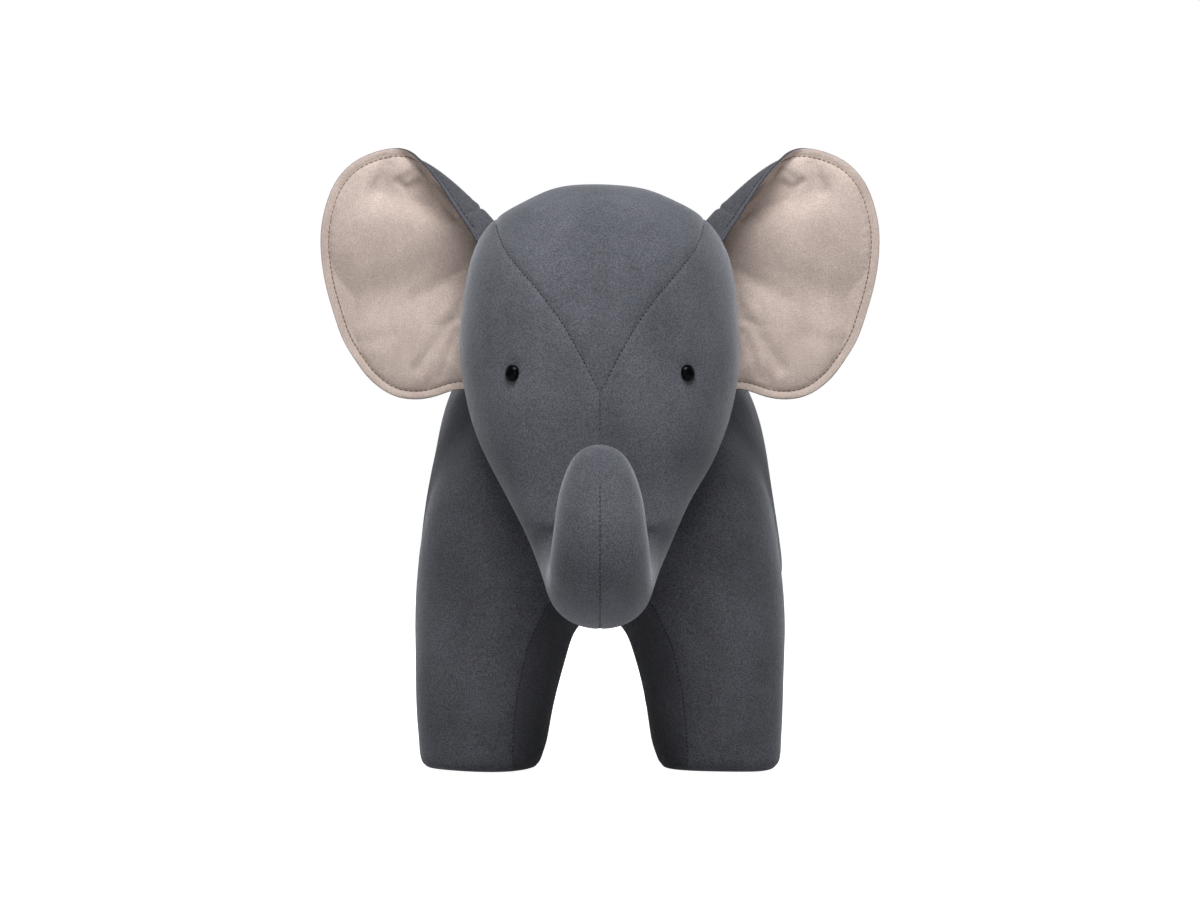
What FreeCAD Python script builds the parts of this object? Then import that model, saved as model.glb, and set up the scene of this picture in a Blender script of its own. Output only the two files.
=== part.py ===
import FreeCAD, Part
import math
import os
import Sketcher
from FreeCAD import Placement, Rotation, Vector

# Stuffed elephant: a firm, velvet-covered toy elephant that stands on four stump legs.
# Millimetres.  +Z is up, the elephant faces -Y, its own left side is +X.
# The origin is on the floor, under the middle of the elephant.

doc = FreeCAD.newDocument("stuffed_elephant")
os.makedirs("parts", exist_ok=True)

# ---------------------------------------------------------------- sizes
sheet = doc.addObject("Spreadsheet::Sheet", "Sizes")
SIZES = (
    ("body_half_width", 177, "widest half width of the torso"),
    ("body_mid", 104, "y of the middle of the torso"),
    ("body_reach", 244, "half length of the torso"),
    ("sole_lift", 2.5, "height of the soles above the floor"),
    ("skin", 2, "thickness of the velvet with its backing"),
    ("fit_gap", 0.2, "slack between cover and filling"),
    ("leg_split", 145, "height where the leg sleeves meet the torso foam"),
    ("post_width", 40, "square timber leg post"),
    ("post_height", 283.5, "length of a leg post"),
    ("post_side", 100, "x of the leg posts"),
    ("post_reach", 178, "distance of the posts from the torso middle"),
    ("foot_side", 109, "x of the foot boards"),
    ("foot_reach", 184, "distance of the foot boards from the torso middle"),
    ("foot_board_radius", 46, ""),
    ("foot_board_base", 4.7, "underside of the foot boards"),
    ("board_thick", 12, "plywood of seat and feet"),
    ("seat_width", 224, ""),
    ("seat_length", 376, ""),
    ("seat_corner", 10, "corner radius of the seat board"),
    ("rail_thick", 20, ""),
    ("rail_depth", 60, "height of the rails"),
    ("neck_thick", 15, "plywood of the neck board"),
    ("glide_radius", 20, ""),
    ("glide_nail", 1.25, "radius of the glide nail"),
    ("glide_nail_length", 9, "nail above the floor side disc"),
    ("screw_radius", 2.25, ""),
    ("screw_head_radius", 4.5, ""),
    ("screw_length", 45, ""),
    ("eye_radius", 7.5, "15 mm safety eye"),
    ("eye_dome", 5.5, "height of the eye dome"),
    ("eye_shank_radius", 2.2, ""),
    ("eye_shank_length", 14, ""),
    ("eye_height", 368, ""),
    ("eye_side", 78, "x of the eyes"),
    ("washer_radius", 9, "locking washer behind the eye"),
    ("washer_thick", 2, ""),
    ("ear_plane", -112, "y of the middle of the ears"),
    ("ear_half_thick", 13, "half thickness of an ear at its fullest"),
    ("ear_skin", 1.5, "velvet of the ears"),
    ("ear_hinge_side", 126, "x of the ear seam line at its middle"),
    ("ear_hinge_height", 435, "height of that point"),
    ("ear_hinge_tilt", 10.856, "degrees the seam line leans inward towards the top"),
    ("ear_root_angle", 20, "degrees between the seam line's plane and each face of the ear"),
    ("tail_y", 362, "y of the tail axis"),
    ("tail_root", 326, "height of the tail hinge"),
    ("tail_radius", 8.5, ""),
    ("tail_drop", 8.5, "from the tail hinge down to the top of the tail"),
    ("tail_length", 101.5, ""),
    ("tuft_length", 46, ""),
)
for row, (alias, value, note) in enumerate(SIZES, start=1):
    sheet.set("A%d" % row, alias)
    sheet.set("B%d" % row, str(value))
    sheet.set("C%d" % row, note)
    sheet.setAlias("B%d" % row, alias)
doc.recompute()


def size(alias):
    return float(sheet.get(alias))


# ---------------------------------------------------------------- helpers
def origin_plane(body, role):
    for feature in body.Origin.OriginFeatures:
        if feature.Role == role:
            return feature
    raise ValueError(role)


def new_body(name):
    body = doc.addObject("PartDesign::Body", name)
    body.Label = name
    return body


def new_sketch(body, name, role, lift=None):
    sketch = body.newObject("Sketcher::SketchObject", name)
    sketch.AttachmentSupport = (origin_plane(body, role), [""])
    sketch.MapMode = "FlatFace"
    if lift:
        sketch.setExpression(".AttachmentOffset.Base.z", lift)
    return sketch


def centred_rectangle(sketch, width, depth):
    """A rectangle about the sketch origin; width and depth are expressions."""
    corners = (Vector(-10, -10, 0), Vector(10, -10, 0), Vector(10, 10, 0), Vector(-10, 10, 0))
    for index in range(4):
        sketch.addGeometry(Part.LineSegment(corners[index], corners[(index + 1) % 4]))
    for index in range(4):
        sketch.addConstraint(Sketcher.Constraint("Coincident", index, 2, (index + 1) % 4, 1))
    for index in (0, 2):
        sketch.addConstraint(Sketcher.Constraint("Horizontal", index))
    for index in (1, 3):
        sketch.addConstraint(Sketcher.Constraint("Vertical", index))
    sketch.addConstraint(Sketcher.Constraint("Symmetric", 0, 1, 2, 1, -1, 1))
    wide = sketch.addConstraint(Sketcher.Constraint("DistanceX", 0, 1, 0, 2, 20))
    deep = sketch.addConstraint(Sketcher.Constraint("DistanceY", 1, 1, 1, 2, 20))
    sketch.setExpression("Constraints[%d]" % wide, width)
    sketch.setExpression("Constraints[%d]" % deep, depth)


def circle(sketch, radius, x="0", y="0"):
    """A circle with its centre at x, y; all three are expressions."""
    index = sketch.addGeometry(Part.Circle(Vector(1, 1, 0), Vector(0, 0, 1), 3))
    across = sketch.addConstraint(Sketcher.Constraint("DistanceX", -1, 1, index, 3, 1))
    along = sketch.addConstraint(Sketcher.Constraint("DistanceY", -1, 1, index, 3, 1))
    wide = sketch.addConstraint(Sketcher.Constraint("Radius", index, 3))
    sketch.setExpression("Constraints[%d]" % across, x)
    sketch.setExpression("Constraints[%d]" % along, y)
    sketch.setExpression("Constraints[%d]" % wide, radius)


def pad(body, name, sketch, length):
    feature = body.newObject("PartDesign::Pad", name)
    feature.Profile = sketch
    feature.setExpression("Length", length)
    sketch.Visibility = False
    body.Tip = feature
    return feature


def pocket(body, name, sketch, length, upward=False):
    feature = body.newObject("PartDesign::Pocket", name)
    feature.Profile = sketch
    feature.setExpression("Length", length)
    feature.Reversed = upward
    sketch.Visibility = False
    body.Tip = feature
    return feature


def place(body, x="0", y="0", z="0"):
    for axis, value in (("x", x), ("y", y), ("z", z)):
        body.setExpression(".Placement.Base." + axis, value)


def soft_part(name, shape):
    """A filled or sewn piece whose shape is made from the curved surfaces below."""
    feature = doc.addObject("Part::Feature", name)
    feature.Label = name
    feature.Shape = shape
    feature.Placement = Placement()
    return feature


def oval(x0, x1, y0, y1, power, z):
    """A closed rounded outline between x0..x1 and y0..y1 at height z."""
    points = []
    for step in range(24):
        turn = 2 * math.pi * step / 24
        across = math.copysign(abs(math.cos(turn)) ** (2 / power), math.cos(turn))
        along = math.copysign(abs(math.sin(turn)) ** (2 / power), math.sin(turn))
        x = (x0 + x1) / 2 + (x1 - x0) / 2 * across
        y = (y0 + y1) / 2 + (y1 - y0) / 2 * along
        points.append(Vector(x, y, z))
    curve = Part.BSplineCurve()
    curve.interpolate(points, PeriodicFlag=True)
    return Part.Wire([curve.toShape()])


def box(x0, x1, y0, y1, z0, z1):
    return Part.makeBox(x1 - x0, y1 - y0, z1 - z0, Vector(x0, y0, z0))


def front_prism(points, y0, y1):
    """A prism along y whose outline is the x, z list and its mirror image in x."""
    outline = [Vector(x, y0, z) for x, z in points]
    outline += [Vector(-x, y0, z) for x, z in reversed(points) if x > 0]
    outline.append(outline[0])
    return Part.Face(Part.makePolygon(outline)).extrude(Vector(0, y1 - y0, 0))


def mirror_x(shape):
    return shape.mirror(Vector(0, 0, 0), Vector(1, 0, 0))


def one_solid(shape):
    """The largest solid of a cut; thin leftovers of the cut are dropped."""
    return max(shape.Solids, key=lambda solid: solid.Volume)


SIDES = (("left", 1), ("right", -1))
ENDS = (("front", -1), ("rear", 1))

# ---------------------------------------------------------------- timber frame
for end, along in ENDS:
    for side, across in SIDES:
        post = new_body("leg_post_%s_%s" % (end, side))
        plan = new_sketch(post, "PostPlan_%s_%s" % (end, side), "XY_Plane")
        centred_rectangle(plan, "Sizes.post_width", "Sizes.post_width")
        pad(post, "PostPad_%s_%s" % (end, side), plan, "Sizes.post_height")
        low = new_sketch(post, "PostLow_%s_%s" % (end, side), "XY_Plane")
        circle(low, "Sizes.screw_radius")
        pocket(post, "PostLowHole_%s_%s" % (end, side), low, "Sizes.screw_length", True)
        top = new_sketch(post, "PostTop_%s_%s" % (end, side), "XY_Plane", "Sizes.post_height")
        circle(top, "Sizes.screw_radius")
        pocket(post, "PostTopHole_%s_%s" % (end, side), top, "Sizes.screw_length")
        place(
            post,
            "%d * Sizes.post_side" % across,
            "Sizes.body_mid + %d * Sizes.post_reach" % along,
            "Sizes.foot_board_base + Sizes.board_thick",
        )

        foot = new_body("foot_board_%s_%s" % (end, side))
        disc = new_sketch(foot, "FootDisc_%s_%s" % (end, side), "XY_Plane")
        circle(disc, "Sizes.foot_board_radius")
        circle(disc, "Sizes.glide_nail")
        circle(
            disc,
            "Sizes.screw_head_radius",
            "%d * (Sizes.post_side - Sizes.foot_side)" % across,
            "%d * (Sizes.post_reach - Sizes.foot_reach)" % along,
        )
        pad(foot, "FootPad_%s_%s" % (end, side), disc, "Sizes.board_thick")
        place(
            foot,
            "%d * Sizes.foot_side" % across,
            "Sizes.body_mid + %d * Sizes.foot_reach" % along,
            "Sizes.foot_board_base",
        )

        glide = new_body("glide_%s_%s" % (end, side))
        wear_disc = new_sketch(glide, "GlideDisc_%s_%s" % (end, side), "XY_Plane")
        circle(wear_disc, "Sizes.glide_radius")
        pad(glide, "GlidePad_%s_%s" % (end, side), wear_disc, "Sizes.sole_lift")
        nail = new_sketch(glide, "GlideNail_%s_%s" % (end, side), "XY_Plane")
        circle(nail, "Sizes.glide_nail")
        pad(glide, "GlideNailPad_%s_%s" % (end, side), nail,
            "Sizes.sole_lift + Sizes.glide_nail_length")
        place(
            glide,
            "%d * Sizes.foot_side" % across,
            "Sizes.body_mid + %d * Sizes.foot_reach" % along,
        )

seat = new_body("seat_board")
seat_plan = new_sketch(seat, "SeatPlan", "XY_Plane")
centred_rectangle(seat_plan, "Sizes.seat_width", "Sizes.seat_length")
for _, along in ENDS:
    for _, across in SIDES:
        circle(seat_plan, "Sizes.screw_radius",
               "%d * Sizes.post_side" % across, "%d * Sizes.post_reach" % along)
seat_pad = pad(seat, "SeatPad", seat_plan, "Sizes.board_thick")
SEAT_BASE = "Sizes.foot_board_base + Sizes.board_thick + Sizes.post_height"
place(seat, "0", "Sizes.body_mid", SEAT_BASE)
doc.recompute()
upright_edges = []
for index, edge in enumerate(seat_pad.Shape.Edges, start=1):
    if edge.Curve.TypeId == "Part::GeomLine" and abs(edge.tangentAt(0).z) > 0.9:
        if abs(edge.Vertexes[0].Z - edge.Vertexes[1].Z) > 1 and len(edge.Vertexes) == 2:
            corner = edge.Vertexes[0]
            if abs(abs(corner.X) - size("seat_width") / 2) < 0.01:
                upright_edges.append("Edge%d" % index)
rounding = seat.newObject("PartDesign::Fillet", "SeatCorners")
rounding.Base = (seat_pad, upright_edges)
rounding.setExpression("Radius", "Sizes.seat_corner")
seat.Tip = rounding

for side, across in SIDES:
    rail = new_body("side_rail_%s" % side)
    section = new_sketch(rail, "SideRailPlan_%s" % side, "XY_Plane")
    centred_rectangle(section, "Sizes.rail_thick", "2 * Sizes.post_reach - Sizes.post_width")
    pad(rail, "SideRailPad_%s" % side, section, "Sizes.rail_depth")
    place(rail, "%d * Sizes.post_side" % across, "Sizes.body_mid",
          SEAT_BASE + " - Sizes.rail_depth")

for end, along in ENDS:
    rail = new_body("cross_rail_%s" % end)
    section = new_sketch(rail, "CrossRailPlan_%s" % end, "XY_Plane")
    centred_rectangle(section, "2 * Sizes.post_side - Sizes.post_width", "Sizes.rail_thick")
    pad(rail, "CrossRailPad_%s" % end, section, "Sizes.rail_depth")
    place(rail, "0", "Sizes.body_mid + %d * Sizes.post_reach" % along,
          SEAT_BASE + " - Sizes.rail_depth")

# The neck board stands on the seat board and reaches forward into the head.
neck = new_body("neck_board")
neck_side = new_sketch(neck, "NeckSide", "YZ_Plane")
seat_top = size("foot_board_base") + size("board_thick") * 2 + size("post_height")
NECK_OUTLINE = (
    (60, seat_top), (60, 345), (-20, 392), (-90, 450), (-170, 450), (-205, 420),
    (-205, 345), (-150, seat_top),
)
for index, (y, z) in enumerate(NECK_OUTLINE):
    next_y, next_z = NECK_OUTLINE[(index + 1) % len(NECK_OUTLINE)]
    neck_side.addGeometry(Part.LineSegment(Vector(y, z, 0), Vector(next_y, next_z, 0)))
for index in range(len(NECK_OUTLINE)):
    follower = (index + 1) % len(NECK_OUTLINE)
    neck_side.addConstraint(Sketcher.Constraint("Coincident", index, 2, follower, 1))
neck_side.addConstraint(Sketcher.Constraint("Horizontal", len(NECK_OUTLINE) - 1))
neck_pad = pad(neck, "NeckPad", neck_side, "Sizes.neck_thick")
neck_pad.Midplane = True
place(neck)
doc.recompute()


# ---------------------------------------------------------------- screws
def countersunk_screw(x, y, z, direction):
    """Head at x, y, z, pointing up (+1) or down (-1)."""
    axis = Vector(0, 0, direction)
    head = size("screw_head_radius")
    shank = size("screw_radius")
    # The head fills its hole to within a tenth of a millimetre.
    top = Part.makeCylinder(head - 0.1, 3, Vector(x, y, z), axis)
    stem = Part.makeCylinder(shank - 0.05, size("screw_length") - 6, Vector(x, y, z), axis)
    return top.fuse(stem).removeSplitter()


def screw_group(z, direction, head_room):
    screws = []
    for _, along in ENDS:
        for _, across in SIDES:
            x = across * size("post_side")
            y = size("body_mid") + along * size("post_reach")
            screws.append(countersunk_screw(x, y, z + head_room, direction))
    return Part.makeCompound(screws)


foot_screws = soft_part("foot_screws", screw_group(size("foot_board_base"), 1, 6))
seat_screws = soft_part("seat_screws", screw_group(seat_top, -1, 3))


# ---------------------------------------------------------------- body surfaces
# Rows: height, then width, front reach and rear reach as parts of the full size, squareness.
TORSO_ROWS = (
    (146, 0.700, 0.672, 0.680, 5.0),
    (152, 0.850, 0.816, 0.803, 5.0),
    (165, 0.960, 0.910, 0.918, 5.0),
    (180, 0.990, 0.959, 0.967, 5.0),
    (205, 0.985, 0.988, 0.992, 4.6),
    (252, 0.955, 1.000, 1.000, 4.0),
    (300, 0.913, 0.988, 0.980, 3.5),
    (348, 0.847, 0.943, 0.914, 3.1),
    (385, 0.738, 0.861, 0.803, 2.8),
    (412, 0.582, 0.730, 0.648, 2.5),
    (428, 0.395, 0.566, 0.455, 2.3),
    (436, 0.220, 0.406, 0.250, 2.2),
    (438, 0.100, 0.300, 0.100, 2.1),
)
# Rows: height, inner x, outer x, front y, back y of the front left leg.
LEG_ROWS = (
    (2.5, 60.0, 162.0, -134, -26),
    (5, 57.3, 165.2, -138, -22),
    (10, 55.5, 167.8, -140, -20),
    (19, 52.2, 169.0, -140, -18),
    (46, 46.5, 171.0, -141, -15),
    (84, 38.2, 173.2, -141, -8),
    (112, 30.6, 174.0, -141, 2),
    (131, 23.0, 174.5, -140, 14),
    (145, 10.0, 174.5, -140, 26),
    (160, 2.0, 174.5, -139, 42),
    (185, 2.0, 173.0, -137, 50),
    (215, 4.0, 170.0, -134, 57),
    (252, 12.0, 163.0, -126, 60),
    (285, 28.0, 150.0, -114, 56),
    (308, 50.0, 132.0, -96, 44),
)


def torso_solid(inset):
    mid = size("body_mid")
    half = size("body_half_width")
    reach = size("body_reach")
    outlines = []
    for z, width, front, rear, power in TORSO_ROWS:
        x = half * width - inset
        level = z + inset if z < 160 else z
        if z > 400:
            level = z - inset
        outlines.append(oval(-x, x, mid - reach * front + inset,
                             mid + reach * rear - inset, power, level))
    return Part.makeLoft(outlines, True, False)


def leg_solid(inset):
    outlines = []
    for z, inner, outer, front, back in LEG_ROWS:
        level = z + inset if z < 19 else z
        outlines.append(oval(inner + inset, outer - inset, front + inset, back - inset, 2.5, level))
    return Part.makeLoft(outlines, True, False)


def body_solid(inset):
    front_left = leg_solid(inset)
    rear_left = front_left.mirror(Vector(0, size("body_mid"), 0), Vector(0, 1, 0))
    legs = [front_left, mirror_x(front_left), rear_left, mirror_x(rear_left)]
    return torso_solid(inset).fuse(legs)


# Rows of the head from the crown down: height, half width, front y, back y, squareness.
HEAD_ROWS = (
    (543, 12.0, -152, -122, 2.0),
    (539, 38.0, -180, -98, 2.0),
    (529, 65.0, -203, -76, 2.1),
    (510, 97.0, -225, -53, 2.2),
    (482, 115.0, -242, -37, 2.3),
    (442, 125.0, -254, -28, 2.35),
    (400, 128.0, -260, -27, 2.35),
    (360, 125.0, -263, -37, 2.3),
    (328, 118.0, -264.5, -58, 2.25),
    (298, 105.5, -266, -90, 2.2),
    (268, 89.0, -267, -130, 2.12),
)
# Rows of the trunk along its bend: turn in degrees, half width, half depth.
TRUNK_BEND = (
    (0, 72.0, 46.0), (30, 60.0, 44.5), (60, 51.5, 43.5), (90, 47.0, 43.0),
    (120, 44.5, 42.5), (150, 41.5, 42.0), (180, 38.5, 41.0),
)
# Rows of the upturned end: height, half width, half depth.
TRUNK_END = ((258, 35.8, 38.0), (275, 31.0, 33.0), (290, 24.0, 25.0), (300, 14.0, 14.0),
             (304.5, 4.0, 4.0))
BEND_Y = -273
BEND_Z = 237
BEND_RADIUS = 50


def head_solid(inset):
    outlines = []
    for z, half, front, back, power in HEAD_ROWS:
        level = z - inset if z > 500 else z
        outlines.append(oval(inset - half, half - inset, front + inset, back - inset, power, level))
    for turn, half, depth in TRUNK_BEND:
        ring = oval(inset - half, half - inset, BEND_RADIUS - depth + inset,
                    BEND_RADIUS + depth - inset, 2.05, 0)
        ring.rotate(Vector(0, 0, 0), Vector(1, 0, 0), -turn)
        ring.translate(Vector(0, BEND_Y, BEND_Z))
        outlines.append(ring)
    for z, half, depth in TRUNK_END:
        # The outlines run the other way round here, because the trunk has turned over.
        level = z - inset if z > 280 else z
        ring = oval(inset - half, half - inset, -depth + inset, depth - inset, 2.05, 0)
        ring.rotate(Vector(0, 0, 0), Vector(1, 0, 0), -180)
        ring.translate(Vector(0, BEND_Y - BEND_RADIUS, level))
        outlines.append(ring)
    return Part.makeLoft(outlines, True, False)


skin = size("skin")
gap = size("fit_gap")
body_outer = body_solid(0)
body_inner = body_solid(skin)
body_filling = body_solid(skin + gap)
body_keepout = body_solid(-0.3)
head_outer = head_solid(0)
head_inner = head_solid(skin)
head_filling = head_solid(skin + gap)

# ---------------------------------------------------------------- eyes
eye_ray = Part.makeLine(Vector(size("eye_side"), -400, size("eye_height")),
                        Vector(size("eye_side"), -150, size("eye_height")))
EYE_SEAT = min((v.Point for v in head_outer.common(eye_ray).Vertexes), key=lambda point: point.y)
EYE_TURN = 40


def eye_body(name):
    """Dome and shank turned about one axis, with the dome on the +Z side."""
    eye = new_body(name)
    half = new_sketch(eye, "Outline_" + name, "XZ_Plane")
    radius = size("eye_radius")
    dome = size("eye_dome")
    shank = size("eye_shank_radius")
    depth = size("eye_shank_length")
    ball = (radius ** 2 + dome ** 2) / (2 * dome)
    mid_x = radius * 0.7
    middle = Vector(mid_x, dome - ball + math.sqrt(ball ** 2 - mid_x ** 2), 0)
    half.addGeometry(Part.LineSegment(Vector(0, dome, 0), Vector(0, -depth, 0)))
    half.addGeometry(Part.LineSegment(Vector(0, -depth, 0), Vector(shank, -depth, 0)))
    half.addGeometry(Part.LineSegment(Vector(shank, -depth, 0), Vector(shank, 0, 0)))
    half.addGeometry(Part.LineSegment(Vector(shank, 0, 0), Vector(radius, 0, 0)))
    half.addGeometry(Part.Arc(Vector(radius, 0, 0), middle, Vector(0, dome, 0)))
    turned = eye.newObject("PartDesign::Revolution", "Turned_" + name)
    turned.Profile = half
    turned.ReferenceAxis = (half, ["V_Axis"])
    turned.Angle = 360
    half.Visibility = False
    eye.Tip = turned
    return eye


def washer_body(name):
    washer = new_body(name)
    ring = new_sketch(washer, "Ring_" + name, "XY_Plane")
    circle(ring, "Sizes.washer_radius")
    circle(ring, "Sizes.eye_shank_radius + 0.05")
    pad(washer, "RingPad_" + name, ring, "Sizes.washer_thick")
    return washer


eye_tools = []
for side, across in SIDES:
    outward = Vector(across * math.sin(math.radians(EYE_TURN)),
                     -math.cos(math.radians(EYE_TURN)), 0.10).normalize()
    facing = Rotation(Vector(0, 0, 1), outward)
    seat_point = Vector(across * EYE_SEAT.x, EYE_SEAT.y, EYE_SEAT.z)
    eye = eye_body("eye_" + side)
    eye.Placement = Placement(seat_point + outward * 0.8, facing)
    washer = washer_body("eye_washer_" + side)
    washer_point = seat_point - outward * (skin + 4.5)
    washer.Placement = Placement(washer_point, facing)
    bore = Part.makeCylinder(size("eye_shank_radius") + 0.1, 24,
                             seat_point - outward * 18, outward)
    bed = Part.makeCylinder(size("eye_radius") + 0.4, 12, seat_point + outward * 0.6, outward)
    pocket_room = Part.makeCylinder(size("washer_radius") + 0.3, size("washer_thick") + 0.6,
                                    washer_point - outward * 0.3, outward)
    eye_tools.append(bore.fuse([bed, pocket_room]))
doc.recompute()

# ---------------------------------------------------------------- fillings
timber = [body.Shape for body in doc.Objects
          if body.TypeId == "PartDesign::Body" and not body.Label.startswith(("eye", "glide"))]
timber += [foot_screws.Shape, seat_screws.Shape]
neck_room = neck.Shape.makeOffsetShape(0.2, 0.01, join=2)
below = box(-300, 300, -300, 500, -10, size("leg_split"))
filling = body_filling.cut(timber)
torso_filling = filling.cut(below)
soft_part("torso_foam", one_solid(torso_filling))
for end, along in ENDS:
    for side, across in SIDES:
        mid = size("body_mid")
        y0, y1 = sorted((mid, mid + along * 400))
        x0, x1 = sorted((0, across * 300))
        quarter = box(x0, x1, y0, y1, -10, size("leg_split"))
        soft_part("leg_foam_%s_%s" % (end, side), one_solid(filling.common(quarter)))

head_stuff = head_filling.cut([body_keepout, neck_room] + eye_tools)
trunk_zone = box(-200, 200, -400, -120, 100, 258).fuse(box(-200, 200, -400, -272, 250, 330))
soft_part("head_stuffing", one_solid(head_stuff.cut(trunk_zone)))
soft_part("trunk_stuffing", one_solid(head_stuff.common(trunk_zone)))

# ---------------------------------------------------------------- body cover
# Half outlines (x, z) seen from the front; each is mirrored about x = 0.
BELLY_ARCH = ((81, -5), (80, 40), (76, 72), (67, 118), (50, 155), (26, 184), (0, 201))
BACK_STRIP = ((0, 203), (34, 232), (58, 285), (69, 345), (72, 450))

body_shell = body_outer.cut([body_inner, neck_room])
soles = box(-300, 300, -300, 500, 0, size("sole_lift") + skin)
nail_holes = []
for end, along in ENDS:
    for side, across in SIDES:
        x = across * size("foot_side")
        y = size("body_mid") + along * size("foot_reach")
        hole = Part.makeCylinder(size("glide_nail") + 0.05, 20, Vector(x, y, -5))
        nail_holes.append(hole)
        y0, y1 = sorted((size("body_mid"), size("body_mid") + along * 400))
        x0, x1 = sorted((0, across * 300))
        corner = box(x0, x1, y0, y1, 0, size("sole_lift") + skin)
        sole = body_outer.common(corner).cut(hole)
        soft_part("foot_sole_%s_%s" % (end, side), one_solid(sole))
cover = body_shell.cut(soles)
belly_zone = front_prism(BELLY_ARCH, -300, 500)
back_zone = front_prism(BACK_STRIP, -60, 500)
soft_part("belly_gusset", one_solid(cover.common(belly_zone)))
flanks = cover.cut(belly_zone)
soft_part("back_panel", one_solid(flanks.common(back_zone)))
flanks = flanks.cut(back_zone)
soft_part("body_side_left", one_solid(flanks.common(box(0, 300, -300, 500, -10, 600))))
soft_part("body_side_right", one_solid(flanks.common(box(-300, 0, -300, 500, -10, 600))))

# ---------------------------------------------------------------- head cover
FOREHEAD_GUSSET = ((0, 350), (17, 383), (32, 410), (51, 436), (67, 455), (79, 470),
                   (85.5, 480), (90, 490), (93, 500), (95, 512), (95, 600))
head_shell = head_outer.cut([head_inner, body_keepout, neck_room] + eye_tools)
gusset_zone = front_prism(FOREHEAD_GUSSET, -300, 100)
soft_part("forehead_gusset", one_solid(head_shell.common(gusset_zone)))
cheeks = head_shell.cut(gusset_zone)
soft_part("head_side_left", one_solid(cheeks.common(box(0, 300, -400, 200, 0, 600))))
soft_part("head_side_right", one_solid(cheeks.common(box(-300, 0, -400, 200, 0, 600))))

# ---------------------------------------------------------------- ears
# Outline of the left ear, seen from the front: x, z, starting at the top of the seam.
EAR_OUTLINE = (
    (108, 508), (130, 547), (162, 571), (198, 579), (229, 568), (250, 539), (259, 498),
    (256, 458), (244, 420), (222, 377), (198, 355), (176, 351), (154, 353), (138, 364),
    (129, 400), (119, 460),
)
EAR_CENTRE = (190, 468)
# The ear swings about a straight seam line that just clears the bulge of the head.
EAR_HINGE = Vector(size("ear_hinge_side"), size("ear_plane"), size("ear_hinge_height"))


def ear_outline(scale, inset, y):
    points = []
    for x, z in EAR_OUTLINE:
        away = Vector(x - EAR_CENTRE[0], 0, z - EAR_CENTRE[1])
        reach = away.Length * scale - inset
        away.normalize()
        points.append(Vector(EAR_CENTRE[0], y, EAR_CENTRE[1]) + away * reach)
    curve = Part.BSplineCurve()
    curve.interpolate(points, PeriodicFlag=True)
    return Part.Wire([curve.toShape()])


def ear_room(inset):
    """The wedge beside the seam line that the ear may fill without touching the head."""
    turn = math.radians(size("ear_root_angle"))
    apex = inset / math.sin(turn)
    reach = 400
    corners = [
        Vector(apex, 0, -reach),
        Vector(apex + reach, -reach * math.tan(turn), -reach),
        Vector(apex + reach, reach * math.tan(turn), -reach),
        Vector(apex, 0, -reach),
    ]
    wedge = Part.Face(Part.makePolygon(corners)).extrude(Vector(0, 0, 2 * reach))
    wedge.Placement = Placement(EAR_HINGE, Rotation(Vector(0, 1, 0), -size("ear_hinge_tilt")))
    return wedge


def ear_cushion(inset, first=-4, last=4):
    """A cushion, fullest in the middle and pinched flat at the seam line.

    The inset shrinks it on every side.  The steps run from the front face (-4)
    over the rim (0) to the back face (4).
    """
    half = size("ear_half_thick") - inset
    middle = size("ear_plane")
    outlines = []
    for step in range(first, last + 1):
        depth = math.sin(math.pi / 2 * step / 4.6) / math.sin(math.pi / 2 * 4 / 4.6)
        scale = math.cos(math.pi / 2 * step / 4.6) ** 0.6
        outlines.append(ear_outline(scale, inset, middle + half * depth))
    return one_solid(Part.makeLoft(outlines, True, True).common(ear_room(inset)))


ear_skin = size("ear_skin")
ear_pieces = (
    ("ear_lining", one_solid(ear_cushion(0, last=0).cut(ear_cushion(ear_skin, last=0)))),
    ("ear_outer", one_solid(ear_cushion(0, first=0).cut(ear_cushion(ear_skin, first=0)))),
    ("ear_padding", ear_cushion(ear_skin + gap)),
)
# The seam allowance of the ear, caught in the side seam of the head.
EAR_TAB_TOP = 504
EAR_TAB_FOOT = 368


def beside_hinge(height, away):
    """A point in the ear plane, the given distance inward from the seam line."""
    drop = EAR_HINGE.z - height
    x = EAR_HINGE.x + drop * math.tan(math.radians(size("ear_hinge_tilt"))) - away
    return Vector(x, EAR_HINGE.y, height)


tab_line = [beside_hinge(EAR_TAB_TOP, 0.4), beside_hinge(EAR_TAB_TOP, 40),
            beside_hinge(EAR_TAB_FOOT, 40), beside_hinge(EAR_TAB_FOOT, 0.4),
            beside_hinge(EAR_TAB_TOP, 0.4)]
ear_tab = Part.Face(Part.makePolygon(tab_line)).extrude(Vector(0, 3, 0))
ear_tab.translate(Vector(0, -1.5, 0))
ear_tab = one_solid(ear_tab.cut([head_solid(-0.3), body_keepout]))
for side, across in SIDES:
    for name, shape in ear_pieces + (("ear_seam_tab", ear_tab),):
        soft_part("%s_%s" % (name, side), shape if across > 0 else mirror_x(shape))

# ---------------------------------------------------------------- tail
# The tail hangs straight down behind the rump from a small sewn tab.
tail_y = size("tail_y")
root = size("tail_root")
tail_foot = root - size("tail_drop") - size("tail_length")


def tail_stack(rows, squash=1.0):
    rings = []
    for z, radius in rows:
        rings.append(oval(-radius, radius, tail_y - radius * squash, tail_y + radius * squash,
                          2.0, z))
    return Part.makeLoft(rings, True, True)


def tail_rows(inset):
    full = size("tail_radius") - inset
    top = root - size("tail_drop") - inset
    return ((top, full * 0.45), (top - 6, full * 0.9), (top - 20, full),
            (tail_foot + 30, full * 0.92), (tail_foot + inset, full * 0.85))


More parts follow.
